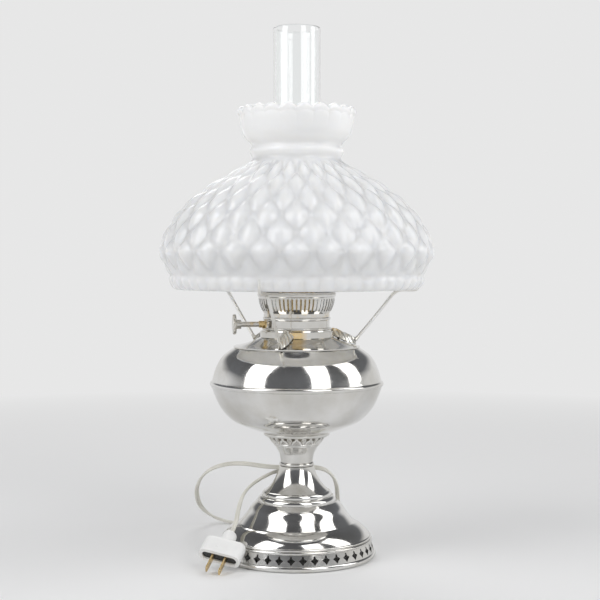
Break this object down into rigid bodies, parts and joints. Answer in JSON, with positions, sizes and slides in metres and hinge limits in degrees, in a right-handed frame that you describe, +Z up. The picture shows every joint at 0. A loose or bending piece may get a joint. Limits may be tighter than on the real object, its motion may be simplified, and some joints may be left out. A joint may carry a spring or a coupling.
{
  "type": "electrified oil table lamp",
  "caption": "Nickel-plated round-draft oil table lamp wired for a bulb, with a quilted white opal glass shade on wire arms, a clear chimney and a flat twin cord with plug.",
  "frame": {"origin": "centre of the foot, on the table", "axes": "+Z up along the lamp's axis, -Y towards the viewer, +X to the viewer's right"},
  "size_m": [0.2756, 0.3461, 0.5263],
  "materials": {
    "nickel": "old nickel plate on brass, softly polished, faintly scratched",
    "brass": "bare brass, slightly dull",
    "steel": "plain steel",
    "opal_glass": "glossy white opal glass, pressed",
    "clear_glass": "clear blown glass",
    "bulb_glass": "clear bulb glass",
    "ivory_cord": "aged ivory flat twin cord",
    "white_plastic": "moulded white plastic",
    "black_fibre": "black fibre"
  },
  "bodies": {
    "lamp": {"foot_ring": "nickel", "base_bell": "nickel", "step_ring": "nickel", "pedestal": "nickel", "waist_ring": "nickel", "stem_cup": "nickel", "font_lower": "nickel", "font_band": "nickel", "font_upper": "nickel", "shoulder_plate": "nickel", "filler_neck": "nickel", "burner_collar": "brass", "burner_band": "nickel", "knurl_ring": "nickel", "gallery": "nickel", "holder_ring": "nickel", "leaf_foot_front": "nickel", "leaf_foot_right": "nickel", "leaf_foot_rear": "nickel", "wire_arm_front": "nickel", "wire_arm_right": "nickel", "wire_arm_rear": "nickel", "switch_housing": "black_fibre", "switch_bushing": "brass", "draft_tube": "brass", "draft_cap": "brass", "lamp_pipe": "steel", "base_washer": "steel", "base_nut": "steel", "socket_shell": "brass", "socket_liner": "black_fibre", "socket_contact": "brass", "cord_bushing": "black_fibre", "cord_lead": "ivory_cord", "cord_coil": "ivory_cord", "coil_tie": "white_plastic", "cord_tail": "ivory_cord", "plug_body": "white_plastic", "plug_insulator": "black_fibre", "plug_blades": "brass"},
    "switch": {"switch_knob": "nickel", "switch_shaft": "brass"},
    "shade": {"shade_dome": "opal_glass", "shade_crown": "opal_glass"},
    "chimney": {"chimney_base": "clear_glass", "chimney_tube": "clear_glass"},
    "bulb": {"bulb_base": "steel", "bulb_glass": "bulb_glass", "bulb_filament": "steel"},
    "filler_cap": {"filler_cap": "nickel"}
  },
  "joints": [
    {"name": "switch_turn", "type": "hinge", "parent": "lamp", "child": "switch", "pos_m": [-0.04951, -0.00696, 0.232], "axis": [-0.9903, -0.1392, 0], "continuous": true},
    {"name": "shade_lift", "type": "slide", "parent": "lamp", "child": "shade", "axis": [0, 0, 1], "range_m": [0, 0.28]},
    {"name": "chimney_lift", "type": "slide", "parent": "lamp", "child": "chimney", "axis": [0, 0, 1], "range_m": [0, 0.21]},
    {"name": "bulb_unscrew", "type": "slide", "parent": "lamp", "child": "bulb", "axis": [0, 0, 1], "range_m": [0, 0.03]},
    {"name": "filler_cap_lift", "type": "slide", "parent": "lamp", "child": "filler_cap", "axis": [0, 0, 1], "range_m": [0, 0.012]}
  ]
}
